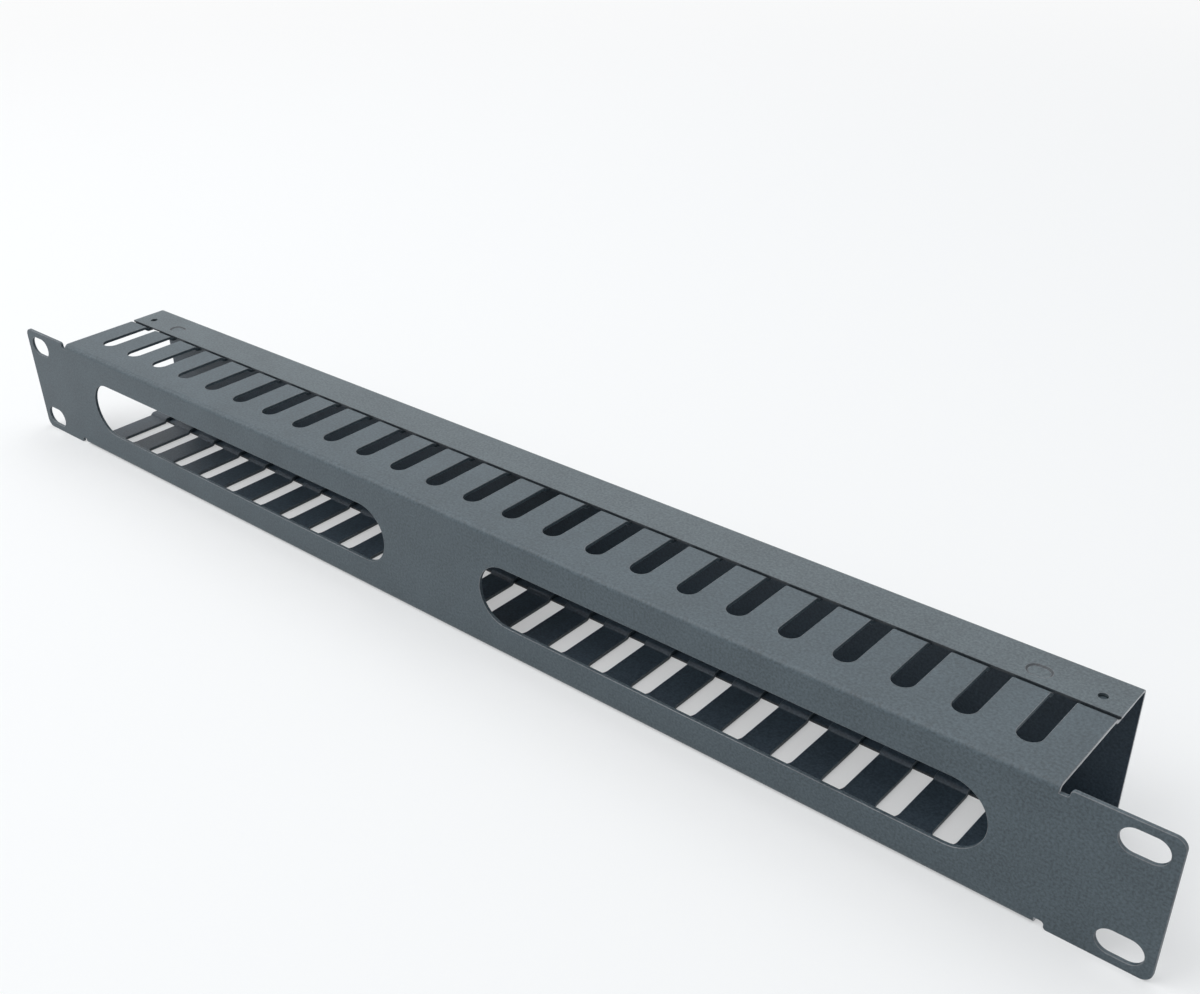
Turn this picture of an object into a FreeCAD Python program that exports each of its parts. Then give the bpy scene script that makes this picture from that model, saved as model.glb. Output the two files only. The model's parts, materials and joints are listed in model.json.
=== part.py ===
import FreeCAD, Part
import enum
import math
import os
import re
import Sketcher

# Horizontal cable manager for a 19-inch rack, one rack unit high.
# Frame, in millimetres: X runs along the panel, Y from the rack face of the
# plate through the duct to the cover, and Z is up. The origin is the centre
# of the plate's rack face.

SIZES = {
    # plate with its two ears
    "panel_width": 482.6,
    "panel_height": 44.45,
    "panel_sheet": 1.2,
    "ear_width": 26.9,
    "ear_corner_radius": 3.0,
    "ear_inner_radius": 1.0,
    # slots for the rack screws, set in from the edges of the panel
    "mount_side_inset": 8.75,
    "mount_edge_inset": 6.35,
    "mount_slot_length": 12.0,
    "mount_slot_height": 7.6,
    # duct: the two flanges folded back from the plate between the ears
    "flange_setback": 0.025,
    "panel_bend_radius": 0.7,
    "relief_width": 2.6,
    "relief_depth": 2.3,
    "relief_radius": 1.0,
    # long windows in the plate
    "window_height": 21.8,
    "window_end_land": 15.1,
    "window_middle_land": 45.0,
    # finger slots, open towards the cover
    "slot_count": 24,
    "slot_width": 6.85,
    "slot_root": 10.1,
    "end_finger_width": 10.3,
    # joggle: each finger steps inward and runs on as a tongue under the cover
    "joggle_start": 32.1,
    "joggle_run": 0.8,
    "joggle_radius": 0.6,
    "tongue_length": 9.8,
    # clip-on cover: a channel whose two lips lie over the tongues
    "cover_sheet": 0.8,
    "cover_overhang": 0.45,
    "cover_bend_radius": 0.9,
    "lip_gap": 0.2,
    "cover_end_gap": 5.0,
    # dimples and small round holes, in one row along each lip
    "dimple_inset": 4.25,
    "dimple_side_inset": 23.4,
    "dimple_length": 7.2,
    "dimple_width": 5.4,
    "dimple_depth": 0.4,
    "dimple_crown": 0.2,
    "dimple_taper": 55.0,
    "dimple_clearance": 0.05,
    "lip_hole_inset": 6.5,
    "lip_hole_diameter": 2.7,
}

# Places that follow from the sizes.
PLACES = {
    "ear_start": "panel_width / 2 - ear_width",
    "mount_x": "panel_width / 2 - mount_side_inset",
    "mount_z": "panel_height / 2 - mount_edge_inset",
    "duct_half": "ear_start - relief_width",
    "duct_top": "panel_height / 2 - flange_setback",
    "duct_ceiling": "duct_top - panel_sheet",
    "panel_bend_outer": "panel_bend_radius + panel_sheet",
    "relief_floor": "panel_height / 2 - relief_depth",
    "window_length": "duct_half - window_end_land - window_middle_land / 2",
    "window_x": "window_middle_land / 2 + window_length / 2",
    "last_slot_x": "duct_half - end_finger_width - slot_width / 2",
    "slot_pitch": "2 * last_slot_x / (slot_count - 1)",
    "joggle_end": "joggle_start + joggle_run",
    "joggle_depth": "cover_sheet + dimple_crown + dimple_clearance",
    "joggle_skew": "panel_sheet * tan(atan(joggle_depth / joggle_run) / 2)",
    "tongue_end": "joggle_end + tongue_length",
    "tongue_top": "duct_top - joggle_depth",
    "tongue_underside": "tongue_top - panel_sheet",
    "lip_edge": "joggle_end + lip_gap",
    "lip_underside": "duct_top - cover_sheet",
    "cover_inner_back": "tongue_end + cover_end_gap",
    "cover_back": "cover_inner_back + cover_sheet",
    "cover_bend_outer": "cover_bend_radius + cover_sheet",
    "dimple_y": "tongue_end - dimple_inset",
    "dimple_x": "duct_half - dimple_side_inset",
    "lip_hole_x": "duct_half - lip_hole_inset",
}

NEAR = 0.001


class Fixed(enum.IntEnum):
    """What a sketch already holds, to measure from."""

    X_AXIS = -1
    Y_AXIS = -2


class Spot(enum.IntEnum):
    """Which point of a line or an arc. The origin is the start of the X axis."""

    START = 1
    END = 2
    CENTRE = 3


doc = FreeCAD.newDocument("cable_manager")


def make_sheet():
    """The driving sizes, one row each."""
    sheet = doc.addObject("Spreadsheet::Sheet", "Sizes")
    for row, (name, value) in enumerate(SIZES.items(), start=1):
        sheet.set(f"A{row}", name)
        sheet.set(f"B{row}", str(value))
        sheet.setAlias(f"B{row}", name)
    doc.recompute()
    return sheet


sheet = make_sheet()


def bind(formula):
    """Write a formula out in cells of the sheet."""
    def spell(match):
        word = match.group(0)
        if word in PLACES:
            return f"({bind(PLACES[word])})"
        if word in SIZES:
            return f"Sizes.{word}"
        return word
    return re.sub(r"[a-z_]+", spell, formula)


def value(formula):
    """What a formula comes to, as a plain number."""
    result = sheet.evalExpression(bind(formula))
    return float(getattr(result, "Value", result))


# ---------------------------------------------------------------- sketches

def origin_plane(body, role):
    for feature in body.Origin.OriginFeatures:
        if feature.Role == role:
            return feature
    raise ValueError(f"no origin plane {role}")


def new_sketch(body, name, role, height=None):
    """A sketch on an origin plane of its body, lifted off it by a formula."""
    sketch = body.newObject("Sketcher::SketchObject", name)
    sketch.AttachmentSupport = (origin_plane(body, role), [""])
    sketch.MapMode = "FlatFace"
    if height is not None:
        sketch.setExpression("AttachmentOffset.Base.z", bind(height))
    doc.recompute()
    return sketch


def point(across, up):
    return FreeCAD.Vector(value(across), value(up), 0)


def set_size(sketch, kind, formula, *where):
    """One driving constraint, bound to a formula."""
    index = sketch.addConstraint(Sketcher.Constraint(kind, *where, value(formula)))
    sketch.setExpression(f"Constraints[{index}]", bind(formula))


def place(sketch, element, end, across, up):
    """Fix a point of the sketch at two distances from its origin."""
    if across == "0":
        sketch.addConstraint(Sketcher.Constraint("PointOnObject", element, end, Fixed.Y_AXIS))
    else:
        set_size(sketch, "DistanceX", across, Fixed.X_AXIS, Spot.START, element, end)
    if up == "0":
        sketch.addConstraint(Sketcher.Constraint("PointOnObject", element, end, Fixed.X_AXIS))
    else:
        set_size(sketch, "DistanceY", up, Fixed.X_AXIS, Spot.START, element, end)


def draw_outline(sketch, corners):
    """A closed outline of straight lines through the corners."""
    points = [point(across, up) for across, up in corners]
    count = len(points)
    first = sketch.GeometryCount
    for n in range(count):
        sketch.addGeometry(Part.LineSegment(points[n], points[(n + 1) % count]), False)
    for n in range(count):
        following = first + (n + 1) % count
        sketch.addConstraint(Sketcher.Constraint("Coincident", first + n, Spot.END, following, Spot.START))
    for n, (across, up) in enumerate(corners):
        place(sketch, first + n, Spot.START, across, up)


def draw_obround(sketch, across, up, length, height):
    """A level slot with round ends, about the centre (across, up)."""
    reach = f"({length} - {height}) / 2"
    radius = value(f"{height} / 2")
    right = point(f"{across} + {reach}", up)
    left = point(f"{across} - {reach}", up)
    normal = FreeCAD.Vector(0, 0, 1)
    rise = FreeCAD.Vector(0, radius, 0)
    quarter = math.pi / 2
    right_end = sketch.addGeometry(
        Part.ArcOfCircle(Part.Circle(right, normal, radius), -quarter, quarter), False)
    top = sketch.addGeometry(Part.LineSegment(right + rise, left + rise), False)
    left_end = sketch.addGeometry(
        Part.ArcOfCircle(Part.Circle(left, normal, radius), quarter, 3 * quarter), False)
    bottom = sketch.addGeometry(Part.LineSegment(left - rise, right - rise), False)
    loop = [right_end, top, left_end, bottom]
    for n in range(4):
        following = loop[(n + 1) % 4]
        sketch.addConstraint(
            Sketcher.Constraint("Tangent", loop[n], Spot.END, following, Spot.START))
    sketch.addConstraint(Sketcher.Constraint("Equal", right_end, left_end))
    sketch.addConstraint(Sketcher.Constraint("Horizontal", top))
    set_size(sketch, "Radius", f"{height} / 2", right_end)
    place(sketch, right_end, Spot.CENTRE, f"{across} + {reach}", up)
    set_size(sketch, "DistanceX", f"{across} - {reach}", Fixed.X_AXIS, Spot.START, left_end, Spot.CENTRE)


def draw_finger_slot(sketch, across, root, mouth, width):
    """A slot along the sketch's Y: round at its root, square at its mouth."""
    radius = value(f"{width} / 2")
    centre = point(across, f"{root} + {width} / 2")
    side = FreeCAD.Vector(radius, 0, 0)
    far = FreeCAD.Vector(0, value(mouth) - centre.y, 0)
    circle = Part.Circle(centre, FreeCAD.Vector(0, 0, 1), radius)
    round_end = sketch.addGeometry(Part.ArcOfCircle(circle, math.pi, 2 * math.pi), False)
    right = sketch.addGeometry(Part.LineSegment(centre + side, centre + side + far), False)
    mouth_line = sketch.addGeometry(
        Part.LineSegment(centre + side + far, centre - side + far), False)
    left = sketch.addGeometry(Part.LineSegment(centre - side + far, centre - side), False)
    sketch.addConstraint(Sketcher.Constraint("Tangent", round_end, Spot.END, right, Spot.START))
    sketch.addConstraint(Sketcher.Constraint("Coincident", right, Spot.END, mouth_line, Spot.START))
    sketch.addConstraint(Sketcher.Constraint("Coincident", mouth_line, Spot.END, left, Spot.START))
    sketch.addConstraint(Sketcher.Constraint("Tangent", left, Spot.END, round_end, Spot.START))
    sketch.addConstraint(Sketcher.Constraint("Vertical", right))
    sketch.addConstraint(Sketcher.Constraint("Vertical", left))
    sketch.addConstraint(Sketcher.Constraint("Horizontal", mouth_line))
    place(sketch, round_end, Spot.CENTRE, across, f"{root} + {width} / 2")
    set_size(sketch, "Radius", f"{width} / 2", round_end)
    set_size(sketch, "DistanceY", mouth, Fixed.X_AXIS, Spot.START, right, Spot.END)


def draw_circle(sketch, across, up, diameter):
    circle = Part.Circle(point(across, up), FreeCAD.Vector(0, 0, 1), value(f"{diameter} / 2"))
    element = sketch.addGeometry(circle, False)
    set_size(sketch, "Radius", f"{diameter} / 2", element)
    place(sketch, element, Spot.CENTRE, across, up)


# ---------------------------------------------------------------- features

def pad(body, name, sketch, length, symmetric=False, reverse=False, taper=None):
    feature = body.newObject("PartDesign::Pad", name)
    feature.Profile = sketch
    feature.SideType = "Symmetric" if symmetric else "One side"
    feature.Reversed = reverse
    feature.setExpression("Length", bind(length))
    if taper is not None:
        feature.setExpression("TaperAngle", bind(taper))
    doc.recompute()
    return feature


def pocket_through(body, name, sketch):
    """Cut the sketch right through the body, both ways from its plane."""
    feature = body.newObject("PartDesign::Pocket", name)
    feature.Profile = sketch
    feature.SideType = "Symmetric"
    feature.Type = "ThroughAll"
    before = feature.BaseFeature.Shape.Volume
    doc.recompute()
    if feature.Shape.Volume >= before:
        raise ValueError(f"{name} cuts nothing")
    return feature


def pocket_to_depth(body, name, sketch, depth, taper):
    """Press the sketch into the body from its plane, with sloping walls."""
    feature = body.newObject("PartDesign::Pocket", name)
    feature.Profile = sketch
    feature.setExpression("Length", bind(depth))
    feature.setExpression("TaperAngle", bind(taper))
    before = feature.BaseFeature.Shape.Volume
    doc.recompute()
    if feature.Shape.Volume >= before:
        raise ValueError(f"{name} cuts nothing")
    return feature


def fillet(body, name, spots, radius):
    """Round the edges whose middle points lie at the given spots."""
    base = body.Tip
    names = []
    for number, edge in enumerate(base.Shape.Edges, start=1):
        middle = edge.valueAt((edge.FirstParameter + edge.LastParameter) / 2)
        if any(middle.distanceToPoint(spot) < NEAR for spot in spots):
            names.append(f"Edge{number}")
    if len(names) != len(spots):
        raise ValueError(f"{name}: {len(names)} edges found at {len(spots)} spots")
    feature = body.newObject("PartDesign::Fillet", name)
    feature.Base = (base, names)
    feature.setExpression("Radius", bind(radius))
    doc.recompute()
    return feature


def mirror(body, name, originals, role):
    feature = body.newObject("PartDesign::Mirrored", name)
    feature.Originals = originals
    feature.MirrorPlane = (origin_plane(body, role), [""])
    body.Tip = feature
    doc.recompute()
    return feature


def above_and_below(x, y, z):
    """The same spot on the top and on the bottom of the duct."""
    upper = FreeCAD.Vector(value(x), value(y), value(z))
    lower = FreeCAD.Vector(upper.x, upper.y, -upper.z)
    return [upper, lower]


def at_both_ears(x, y, z):
    """The same spot at all four corners of the panel."""
    right = above_and_below(x, y, z)
    left = [FreeCAD.Vector(-spot.x, spot.y, spot.z) for spot in right]
    return right + left


# ------------------------------------------------------------ slotted panel

def mirrored_below(corners):
    """The same run of corners below the duct's middle, in reverse order."""
    return [(across, f"-({up})") for across, up in reversed(corners)]


def add_folded_channel(body):
    """Plate, flanges, joggles and tongues as one folded section."""
    outside = [
        ("tongue_end", "tongue_top"),
        ("joggle_end", "tongue_top"),
        ("joggle_start", "duct_top"),
        ("0", "duct_top"),
    ]
    inside = [
        ("panel_sheet", "duct_ceiling"),
        ("joggle_start - joggle_skew", "duct_ceiling"),
        ("joggle_end - joggle_skew", "tongue_underside"),
        ("tongue_end", "tongue_underside"),
    ]
    section = new_sketch(body, "channel_section", "YZ_Plane")
    draw_outline(section, outside + mirrored_below(outside) + mirrored_below(inside) + inside)
    pad(body, "channel", section, "2 * duct_half", symmetric=True)
    fillet(body, "outer_bends", above_and_below("0", "0", "duct_top"), "panel_bend_outer")
    fillet(
        body, "inner_bends", above_and_below("0", "panel_sheet", "duct_ceiling"),
        "panel_bend_radius")
    outer_turns = above_and_below("0", "joggle_start", "duct_top")
    outer_turns += above_and_below("0", "joggle_end - joggle_skew", "tongue_underside")
    fillet(body, "joggle_outer_turns", outer_turns, "joggle_radius + panel_sheet")
    inner_turns = above_and_below("0", "joggle_end", "tongue_top")
    inner_turns += above_and_below("0", "joggle_start - joggle_skew", "duct_ceiling")
    fillet(body, "joggle_inner_turns", inner_turns, "joggle_radius")


def add_ears(body):
    """Rack ears, set off from the flange ends by the bend reliefs."""
    corners = [
        ("duct_half", "relief_floor"),
        ("ear_start", "relief_floor"),
        ("ear_start", "panel_height / 2"),
        ("panel_width / 2", "panel_height / 2"),
    ]
    outline = new_sketch(body, "ear_outline", "XZ_Plane")
    draw_outline(outline, corners + mirrored_below(corners))
    ear = pad(body, "right_ear", outline, "panel_sheet", reverse=True)
    mirror(body, "left_ear", [ear], "YZ_Plane")
    half_sheet = "panel_sheet / 2"
    outer_corners = at_both_ears("panel_width / 2", half_sheet, "panel_height / 2")
    fillet(body, "ear_corners", outer_corners, "ear_corner_radius")
    inner_corners = at_both_ears("ear_start", half_sheet, "panel_height / 2")
    fillet(body, "ear_inner_corners", inner_corners, "ear_inner_radius")
    relief_corners = at_both_ears("ear_start", half_sheet, "relief_floor")
    fillet(body, "relief_corners", relief_corners, "relief_radius")


def cut_windows(body):
    """Two long windows, one each side of the plate's middle."""
    outlines = new_sketch(body, "window_outlines", "XZ_Plane")
    for side in (-1, 1):
        draw_obround(outlines, f"{side} * window_x", "0", "window_length", "window_height")
    pocket_through(body, "windows", outlines)


def cut_mount_slots(body):
    """Four level slots for the rack screws."""
    outlines = new_sketch(body, "mount_slot_outlines", "XZ_Plane")
    for side in (-1, 1):
        for level in (-1, 1):
            draw_obround(
                outlines, f"{side} * mount_x", f"{level} * mount_z",
                "mount_slot_length", "mount_slot_height")
    pocket_through(body, "mount_slots", outlines)


def cut_fingers(body):
    """Finger slots through both flanges, from near the plate to the free ends."""
    outline = new_sketch(body, "finger_slot_outline", "XY_Plane")
    draw_finger_slot(
        outline, "-last_slot_x", "slot_root", "tongue_end + panel_sheet", "slot_width")
    slot = pocket_through(body, "first_finger_slot", outline)
    row = body.newObject("PartDesign::LinearPattern", "finger_slots")
    row.Originals = [slot]
    row.Direction = (outline, ["H_Axis"])
    row.setExpression("Length", bind("2 * last_slot_x"))
    row.setExpression("Occurrences", bind("slot_count"))
    body.Tip = row
    doc.recompute()


def make_slotted_panel():
    body = doc.addObject("PartDesign::Body", "slotted_panel")
    add_folded_channel(body)
    add_ears(body)
    cut_windows(body)
    cut_mount_slots(body)
    cut_fingers(body)
    return body


# ------------------------------------------------------------ clip-on cover

def add_cover_channel(body):
    """Back and two lips, level with the flanges on the outside."""
    outside = [
        ("lip_edge", "duct_top"),
        ("cover_back", "duct_top"),
    ]
    inside = [
        ("cover_inner_back", "lip_underside"),
        ("lip_edge", "lip_underside"),
    ]
    section = new_sketch(body, "cover_section", "YZ_Plane")
    draw_outline(section, outside + mirrored_below(outside) + mirrored_below(inside) + inside)
    pad(body, "cover_channel", section, "2 * (duct_half + cover_overhang)", symmetric=True)
    outer_bends = above_and_below("0", "cover_back", "duct_top")
    fillet(body, "cover_outer_bends", outer_bends, "cover_bend_outer")
    inner_bends = above_and_below("0", "cover_inner_back", "lip_underside")
    fillet(body, "cover_inner_bends", inner_bends, "cover_bend_radius")


def press_dimples(body):
    """Shallow oblong dimples, sunk outside and standing proud inside each lip."""
    sunk = new_sketch(body, "dimple_outlines", "XY_Plane", "duct_top")
    proud = new_sketch(body, "dimple_crown_outlines", "XY_Plane", "lip_underside")
    for side in (-1, 1):
        for sketch in (sunk, proud):
            draw_obround(
                sketch, f"{side} * dimple_x", "dimple_y", "dimple_length", "dimple_width")
    hollows = pocket_to_depth(body, "dimple_hollows", sunk, "dimple_depth", "-dimple_taper")
    crowns = pad(
        body, "dimple_crowns", proud, "dimple_crown", reverse=True, taper="-dimple_taper")
    mirror(body, "lower_dimples", [hollows, crowns], "XY_Plane")


def pierce_lips(body):
    """A small round hole near each end of each lip, over the end tongue."""
    outlines = new_sketch(body, "lip_hole_outlines", "XY_Plane")
    for side in (-1, 1):
        draw_circle(outlines, f"{side} * lip_hole_x", "dimple_y", "lip_hole_diameter")
    pocket_through(body, "lip_holes", outlines)


def make_clip_on_cover():
    body = doc.addObject("PartDesign::Body", "clip_on_cover")
    add_cover_channel(body)
    press_dimples(body)
    pierce_lips(body)
    return body


# ------------------------------------------------------------------- output

def check_document(bodies):
    doc.recompute()
    for item in doc.Objects:
        if "Invalid" in item.State or "Error" in item.State:
            raise RuntimeError(f"{item.Name} failed: {item.State}")
    for body in bodies:
        if body.Shape.isNull() or not body.Shape.isValid() or len(body.Shape.Solids) != 1:
            raise RuntimeError(f"{body.Label} is not one valid solid")


def write_steps(bodies):
    os.makedirs("parts", exist_ok=True)
    for body in bodies:
        body.Shape.exportStep(f"parts/{body.Label}.step")


bodies = [make_slotted_panel(), make_clip_on_cover()]
for body in bodies:
    body.Placement = FreeCAD.Placement()
check_document(bodies)
write_steps(bodies)
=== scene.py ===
import json
import math

import bpy
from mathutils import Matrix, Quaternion, Vector

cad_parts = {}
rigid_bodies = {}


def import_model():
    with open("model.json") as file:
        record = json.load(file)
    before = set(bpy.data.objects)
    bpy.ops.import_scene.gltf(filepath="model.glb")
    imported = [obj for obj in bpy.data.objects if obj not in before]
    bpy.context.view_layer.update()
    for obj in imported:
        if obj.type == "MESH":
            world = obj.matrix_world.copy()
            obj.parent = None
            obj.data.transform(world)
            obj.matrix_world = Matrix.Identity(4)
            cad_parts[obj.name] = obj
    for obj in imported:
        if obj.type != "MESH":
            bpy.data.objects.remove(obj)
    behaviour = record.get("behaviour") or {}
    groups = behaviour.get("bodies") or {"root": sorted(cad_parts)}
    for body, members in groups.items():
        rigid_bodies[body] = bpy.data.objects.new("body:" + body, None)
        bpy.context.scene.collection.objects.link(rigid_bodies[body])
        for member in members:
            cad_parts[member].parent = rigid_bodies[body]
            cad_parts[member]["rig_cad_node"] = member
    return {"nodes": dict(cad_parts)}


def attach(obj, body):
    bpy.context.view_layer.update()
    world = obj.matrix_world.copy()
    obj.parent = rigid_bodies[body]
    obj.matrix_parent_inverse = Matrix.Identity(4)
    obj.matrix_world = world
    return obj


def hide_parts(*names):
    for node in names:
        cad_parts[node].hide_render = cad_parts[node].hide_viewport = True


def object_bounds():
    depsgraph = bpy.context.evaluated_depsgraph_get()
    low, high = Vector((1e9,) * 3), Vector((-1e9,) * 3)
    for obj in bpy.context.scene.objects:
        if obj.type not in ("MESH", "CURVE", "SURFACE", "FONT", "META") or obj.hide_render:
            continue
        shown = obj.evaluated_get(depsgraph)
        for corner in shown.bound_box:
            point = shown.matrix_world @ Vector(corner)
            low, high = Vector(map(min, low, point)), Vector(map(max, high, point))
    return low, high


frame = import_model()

# The finished look of a rack cable manager: two folded steel sheets, powder
# coated, standing on a pale table. Everything is in metres.

cad_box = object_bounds()
lowest, highest = cad_box

MM = 0.001

# ------------------------------------------------------------------- sizes

# The coat rounds every edge that turns more sharply than the facets of a fold.
PAINT_EDGE = 0.16 * MM
SHARP_TURN = math.radians(28)
ROUNDED_TURN = math.radians(60)

# Faces as level as this, and corners as close as this, are made one.
FLAT_ENOUGH = math.radians(0.5)
SAME_CORNER = 0.0005 * MM

# Depths that lie behind the ears, behind the plate, and close to the cover's back.
BEHIND_EARS = 10 * MM
BEHIND_PLATE = 2 * MM
NEAR_BACK = 40 * MM

# A face this close to a sheet's end is its sheared end.
END_REACH = 0.05 * MM

# Where the walls of the pressed dimples lie on the cover's two lips; these walls get painted
# shade.
DIMPLE_SIDE = 188.4 * MM
DIMPLE_BACK = 38.45 * MM
DIMPLE_REACH = 4.6 * MM
DIMPLE_RIM = 22.185 * MM
DIMPLE_BED = 21.815 * MM

# Where the cut edges of those lips lie, and how low they reach; these edges get painted shade
# too.
LIP_EDGE = 33.1 * MM
LIP_EDGE_REACH = 0.25 * MM
LIP_EDGE_LOWEST = 21.3 * MM

TABLE_SIZE = 8.0

# ----------------------------------------------------------------- colours

# Each tone pair, for a coat or for painted light and shade, runs from its darkest to its lightest
# tone. All colours are linear.
PANEL_TONES = ((0.0345, 0.050, 0.0605, 1.0), (0.077, 0.106, 0.124, 1.0))
COVER_TONES = ((0.053, 0.069, 0.079, 1.0), (0.108, 0.137, 0.151, 1.0))
# Painted shade: the darker tone of the faces inside the channel.
INSIDE_SHADE_TONES = ((0.025, 0.039, 0.053, 1.0), (0.056, 0.083, 0.110, 1.0))
# Painted shade on the dimple walls and on the lips' cut edges.
HOLLOW_SHADE_TONES = ((0.018, 0.023, 0.028, 1.0), (0.042, 0.052, 0.060, 1.0))
# The rounded edges: a thinner coat, lightened further by a painted highlight.
EDGE_HIGHLIGHT_TONES = ((0.078, 0.090, 0.102, 1.0), (0.205, 0.217, 0.230, 1.0))
# Painted highlight: the light tone of the sheared ends.
END_HIGHLIGHT_TONES = ((0.30, 0.31, 0.32, 1.0), (0.60, 0.61, 0.62, 1.0))

# The parts of the noise that give the darkest and the lightest tone.
NOISE_ENDS = (0.35, 0.65)
CLOUD_SCALE = 60.0
GRAIN_SCALE = 1300.0

TABLE_WHITE = (0.89, 0.895, 0.895, 1.0)
PLAIN_WHITE = (1.0, 1.0, 1.0, 1.0)
COOL_WHITE = (0.88, 0.94, 1.0, 1.0)

# How strongly the room shines on things, and how bright it looks itself.
ROOM_LIGHT = 0.40
ROOM_WHITE = 0.98

# Between these distances from the part, the table goes over into the white room.
FADE_START = 0.35
FADE_END = 1.7
WHITE_SHARE_NEAR = 0.36

# ------------------------------------------------------------------ camera

CAMERA_PLACE = Vector((0.29299, -0.25047, 0.23415))
CAMERA_AIM = Vector((0.04045, 0.02772, 0.0))
CAMERA_ROLL = math.radians(-1.86)
CAMERA_LENS = 41.407
CAMERA_SHIFT = (0.0167, 0.0608)
SENSOR_WIDTH = 36.0


# --------------------------------------------------------------- materials

def add_node(owner, kind, **inputs):
    """A node, with the inputs that are named set on it."""
    node = owner.node_tree.nodes.new(kind)
    for label, setting in inputs.items():
        node.inputs[label.replace("_", " ")].default_value = setting
    return node


def combine(owner, operation, first, second):
    """One number worked out from two."""
    node = owner.node_tree.nodes.new("ShaderNodeMath")
    node.operation = operation
    owner.node_tree.links.new(first, node.inputs[0])
    owner.node_tree.links.new(second, node.inputs[1])
    return node.outputs["Value"]


def powder_coat(name, tones, grain_share=0.8, gloss=(0.42, 0.58), grain_height=0.04 * MM):
    """Satin powder coat: a fine grain over a faint clouding of its tone."""
    material = bpy.data.materials.new(name)
    material.use_nodes = True
    link = material.node_tree.links.new
    shader = material.node_tree.nodes["Principled BSDF"]
    place = add_node(material, "ShaderNodeTexCoord")

    cloud = add_node(material, "ShaderNodeTexNoise", Scale=CLOUD_SCALE, Detail=3.0, Roughness=0.6)
    link(place.outputs["Object"], cloud.inputs["Vector"])
    grain = add_node(material, "ShaderNodeTexNoise", Scale=GRAIN_SCALE, Detail=2.0, Roughness=0.6)
    link(place.outputs["Object"], grain.inputs["Vector"])
    blend = add_node(material, "ShaderNodeMix", Factor=grain_share)
    link(cloud.outputs["Fac"], blend.inputs["A"])
    link(grain.outputs["Fac"], blend.inputs["B"])
    tone = add_node(material, "ShaderNodeValToRGB")
    for stop, position, colour in zip(tone.color_ramp.elements, NOISE_ENDS, tones):
        stop.position = position
        stop.color = colour
    link(blend.outputs["Result"], tone.inputs["Fac"])
    link(tone.outputs["Color"], shader.inputs["Base Color"])

    bump = add_node(material, "ShaderNodeBump", Strength=1.0, Distance=grain_height)
    link(grain.outputs["Fac"], bump.inputs["Height"])
    link(bump.outputs["Normal"], shader.inputs["Normal"])

    roughness = add_node(material, "ShaderNodeMapRange", To_Min=gloss[0], To_Max=gloss[1])
    link(grain.outputs["Fac"], roughness.inputs["Value"])
    link(roughness.outputs["Result"], shader.inputs["Roughness"])
    return material


def seen_ray(owner):
    """One for what is seen straight, mirrored or through glass; else nothing."""
    path = add_node(owner, "ShaderNodeLightPath").outputs
    straight_or_mirrored = combine(
        owner, "MAXIMUM", path["Is Camera Ray"], path["Is Glossy Ray"])
    return combine(owner, "MAXIMUM", straight_or_mirrored, path["Is Transmission Ray"])


def pale_table():
    """White table top that takes a shadow, and fades into the white room further out."""
    material = bpy.data.materials.new("pale_table")
    material.use_nodes = True
    nodes = material.node_tree.nodes
    link = material.node_tree.links.new
    shader = nodes["Principled BSDF"]
    shader.inputs["Base Color"].default_value = TABLE_WHITE
    shader.inputs["Roughness"].default_value = 0.7
    shader.inputs["Specular IOR Level"].default_value = 0.2
    glow = add_node(material, "ShaderNodeEmission", Color=PLAIN_WHITE, Strength=ROOM_WHITE)

    place = add_node(material, "ShaderNodeTexCoord")
    distance = add_node(material, "ShaderNodeVectorMath")
    distance.operation = "LENGTH"
    link(place.outputs["Object"], distance.inputs["Vector"])
    fade = add_node(
        material, "ShaderNodeMapRange",
        From_Min=FADE_START, From_Max=FADE_END, To_Min=WHITE_SHARE_NEAR, To_Max=1.0)
    fade.interpolation_type = "SMOOTHSTEP"
    link(distance.outputs["Value"], fade.inputs["Value"])
    white_share = combine(material, "MULTIPLY", seen_ray(material), fade.outputs["Result"])

    mix = add_node(material, "ShaderNodeMixShader")
    link(white_share, mix.inputs["Fac"])
    link(shader.outputs["BSDF"], mix.inputs[1])
    link(glow.outputs["Emission"], mix.inputs[2])
    link(mix.outputs["Shader"], nodes["Material Output"].inputs["Surface"])
    return material


# ------------------------------------------------------------ folded sheets

# The coat, edge tone, painted highlight and painted shade of one sheet, in the order of its
# material slots.
COATED, EDGE, PAINTED_END_HIGHLIGHT, PAINTED_HOLLOW_SHADE, INSIDE = range(5)


def deselect_everything():
    bpy.ops.object.select_all(action="DESELECT")


def touch_up(sheet):
    """Painted highlight on the sheared ends, painted shade on the dimple walls, the lip edges and
    the faces inside.
    """
    end = max(corner.co.x for corner in sheet.data.vertices if corner.co.y > BEHIND_EARS)
    for face in sheet.data.polygons:
        facing = face.normal
        side, back, height = abs(face.center.x), face.center.y, abs(face.center.z)
        # Faces inside the lips and near the cover's back get painted shade, the darker inside
        # tone.
        inside_lip = facing.z * face.center.z < -0.5 * height and back > BEHIND_PLATE
        inside_back = facing.y < -0.5 and back > NEAR_BACK
        if face.material_index == COATED and (inside_lip or inside_back):
            face.material_index = INSIDE
        # The sheared ends get a painted highlight, a much lighter tone.
        if abs(facing.x) > 0.99 and abs(side - end) < END_REACH:
            face.material_index = PAINTED_END_HIGHLIGHT
        # The dimple walls and the lips' cut edges get painted shade, a darker tone.
        by_dimple = max(abs(side - DIMPLE_SIDE), abs(back - DIMPLE_BACK)) < DIMPLE_REACH
        if by_dimple and DIMPLE_BED < height < DIMPLE_RIM:
            face.material_index = PAINTED_HOLLOW_SHADE
        by_lip_edge = abs(back - LIP_EDGE) < LIP_EDGE_REACH and height > LIP_EDGE_LOWEST
        if by_lip_edge and facing.y < -0.2:
            face.material_index = PAINTED_HOLLOW_SHADE


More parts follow.
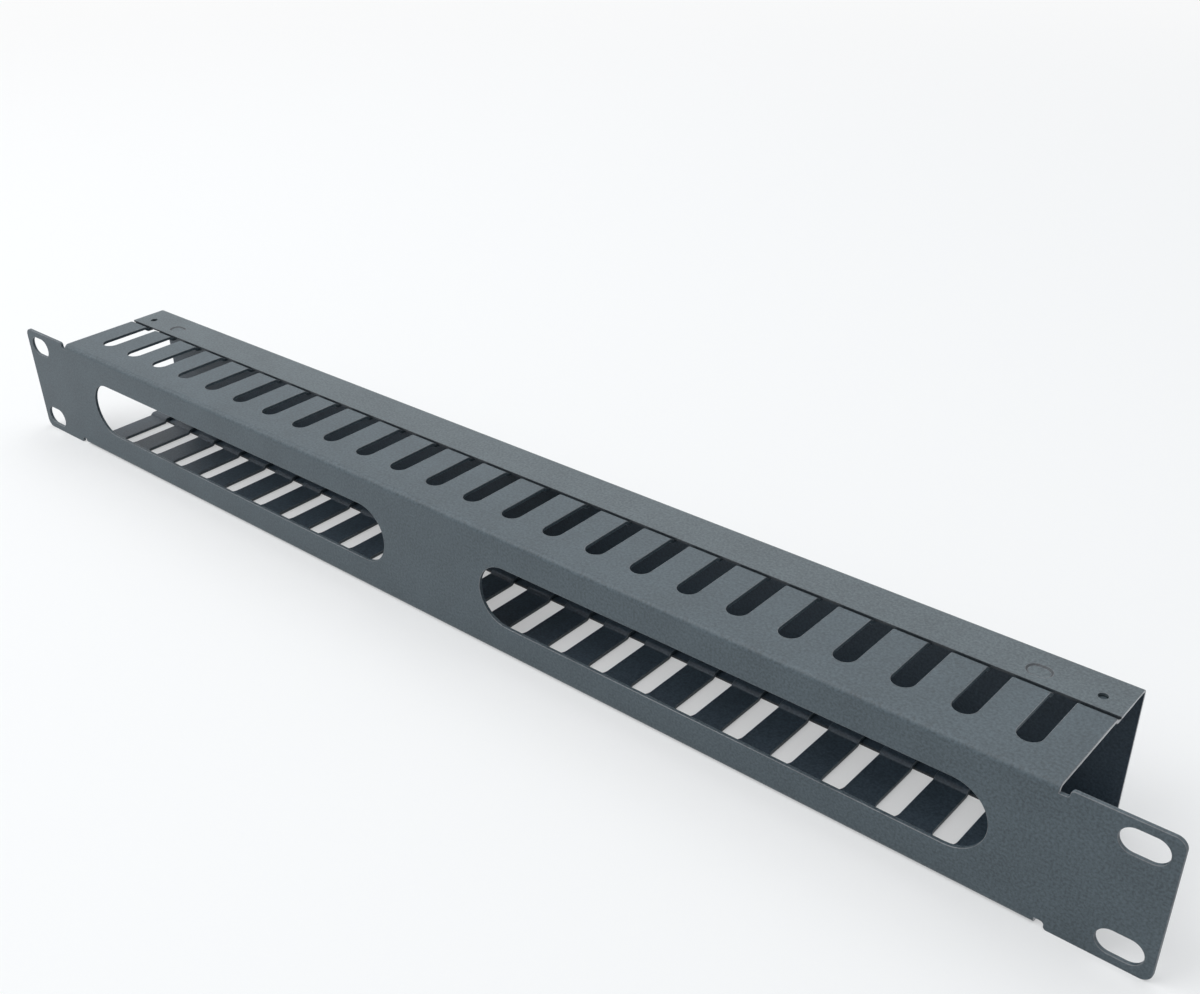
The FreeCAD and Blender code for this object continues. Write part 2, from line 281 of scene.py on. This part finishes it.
def coated_sheet(node, name, body, coat):
    """One folded sheet, with its cut edges rounded over by the coat."""
    deselect_everything()
    solid = frame["nodes"][node]
    solid.select_set(True)
    bpy.context.view_layer.objects.active = solid
    bpy.ops.object.duplicate()
    sheet = bpy.context.view_layer.objects.active
    sheet.name = name
    sheet.data.name = name
    del sheet["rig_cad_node"]
    sheet.data.materials.clear()
    for finish in (coat, edge_coat_and_highlight, end_painted_highlight, hollow_painted_shade, inside_painted_shade):
        sheet.data.materials.append(finish)

    bpy.ops.object.mode_set(mode="EDIT")
    bpy.ops.mesh.select_all(action="SELECT")
    bpy.ops.mesh.remove_doubles(threshold=SAME_CORNER)
    bpy.ops.mesh.dissolve_limited(angle_limit=FLAT_ENOUGH)
    bpy.ops.object.mode_set(mode="OBJECT")
    bpy.ops.object.shade_smooth_by_angle(angle=SHARP_TURN)

    rounding = sheet.modifiers.new("paint_edge", "BEVEL")
    rounding.width = PAINT_EDGE
    rounding.segments = 2
    rounding.limit_method = "ANGLE"
    rounding.angle_limit = SHARP_TURN
    # The rounded edges take the lighter edge tone: thinner coat plus a painted highlight.
    rounding.material = EDGE
    bpy.ops.object.modifier_apply(modifier=rounding.name)
    touch_up(sheet)
    bpy.ops.object.shade_smooth_by_angle(angle=ROUNDED_TURN)
    evening = sheet.modifiers.new("flat_faces", "WEIGHTED_NORMAL")
    evening.keep_sharp = True
    bpy.ops.object.modifier_apply(modifier=evening.name)

    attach(sheet, body)
    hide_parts(node)


panel_coat = powder_coat("panel_coat", PANEL_TONES)
cover_coat = powder_coat("cover_coat", COVER_TONES)
# Thinner coat on the rounded edges, with a painted highlight in its lighter tone.
edge_coat_and_highlight = powder_coat(
    "thin_coat_and_painted_highlight_on_edges", EDGE_HIGHLIGHT_TONES, grain_share=0.3, gloss=(0.34, 0.46),
    grain_height=0.01 * MM)
# Painted shade for the faces inside the channel.
inside_painted_shade = powder_coat("inside_painted_shade", INSIDE_SHADE_TONES)
# Painted highlight on the sheared ends.
end_painted_highlight = powder_coat(
    "sheared_end_painted_highlight", END_HIGHLIGHT_TONES, grain_share=0.5, gloss=(0.30, 0.42),
    grain_height=0.01 * MM)
# Painted shade for the dimple walls and the lips' cut edges.
hollow_painted_shade = powder_coat("hollow_painted_shade", HOLLOW_SHADE_TONES)
coated_sheet("slotted_panel", "panel_coated", "panel", panel_coat)
coated_sheet("clip_on_cover", "cover_coated", "cover", cover_coat)


# -------------------------------------------------------- table and lights

def lay_table():
    deselect_everything()
    middle = (lowest + highest) / 2
    bpy.ops.mesh.primitive_plane_add(size=TABLE_SIZE, location=(middle.x, middle.y, lowest.z))
    table = bpy.context.view_layer.objects.active
    table.name = "table"
    table.data.materials.append(pale_table())


def hang_lamp(name, place, aim, side, watts):
    """A square lamp that faces its aim."""
    lamp = bpy.data.lights.new(name, "AREA")
    lamp.shape = "SQUARE"
    lamp.size = side
    lamp.energy = watts
    holder = bpy.data.objects.new(name, lamp)
    holder.location = place
    toward = Vector(aim) - Vector(place)
    holder.rotation_mode = "QUATERNION"
    holder.rotation_quaternion = toward.to_track_quat("-Z", "Y")
    bpy.context.scene.collection.objects.link(holder)


def light_room():
    """An even pale room, a broad lamp overhead and one on each side of the left end."""
    world = bpy.data.worlds.new("pale_room")
    world.use_nodes = True
    bpy.context.scene.world = world
    link = world.node_tree.links.new
    background = world.node_tree.nodes["Background"]
    seen = seen_ray(world)
    tint = world.node_tree.nodes.new("ShaderNodeMix")
    tint.data_type = "RGBA"
    tint.inputs["A"].default_value = COOL_WHITE
    tint.inputs["B"].default_value = PLAIN_WHITE
    link(seen, tint.inputs["Factor"])
    link(tint.outputs["Result"], background.inputs["Color"])
    strength = add_node(world, "ShaderNodeMapRange", To_Min=ROOM_LIGHT, To_Max=ROOM_WHITE)
    link(seen, strength.inputs["Value"])
    link(strength.outputs["Result"], background.inputs["Strength"])
    hang_lamp("key", (-0.85, -0.85, 1.5), aim=(0.0, 0.0, 0.0), side=1.6, watts=21.5)
    hang_lamp("back", (-0.9, 0.9, 1.6), aim=(0.0, 0.0, 0.0), side=1.4, watts=4.5)
    hang_lamp("overhead", (0.1, 0.8, 3.0), aim=(0.0, 0.5, 0.0), side=3.6, watts=34.0)


def stand_camera():
    lens = bpy.data.cameras.new("camera")
    lens.lens = CAMERA_LENS
    lens.sensor_width = SENSOR_WIDTH
    lens.sensor_fit = "HORIZONTAL"
    lens.shift_x, lens.shift_y = CAMERA_SHIFT
    lens.clip_start = 0.01
    lens.clip_end = 50.0
    camera = bpy.data.objects.new("camera", lens)
    bpy.context.scene.collection.objects.link(camera)
    camera.location = CAMERA_PLACE
    toward = CAMERA_AIM - CAMERA_PLACE
    level = toward.to_track_quat("-Z", "Y")
    camera.rotation_mode = "QUATERNION"
    camera.rotation_quaternion = level @ Quaternion((0.0, 0.0, 1.0), CAMERA_ROLL)
    bpy.context.scene.camera = camera


lay_table()
light_room()
stand_camera()
bpy.context.scene.view_settings.view_transform = "Standard"
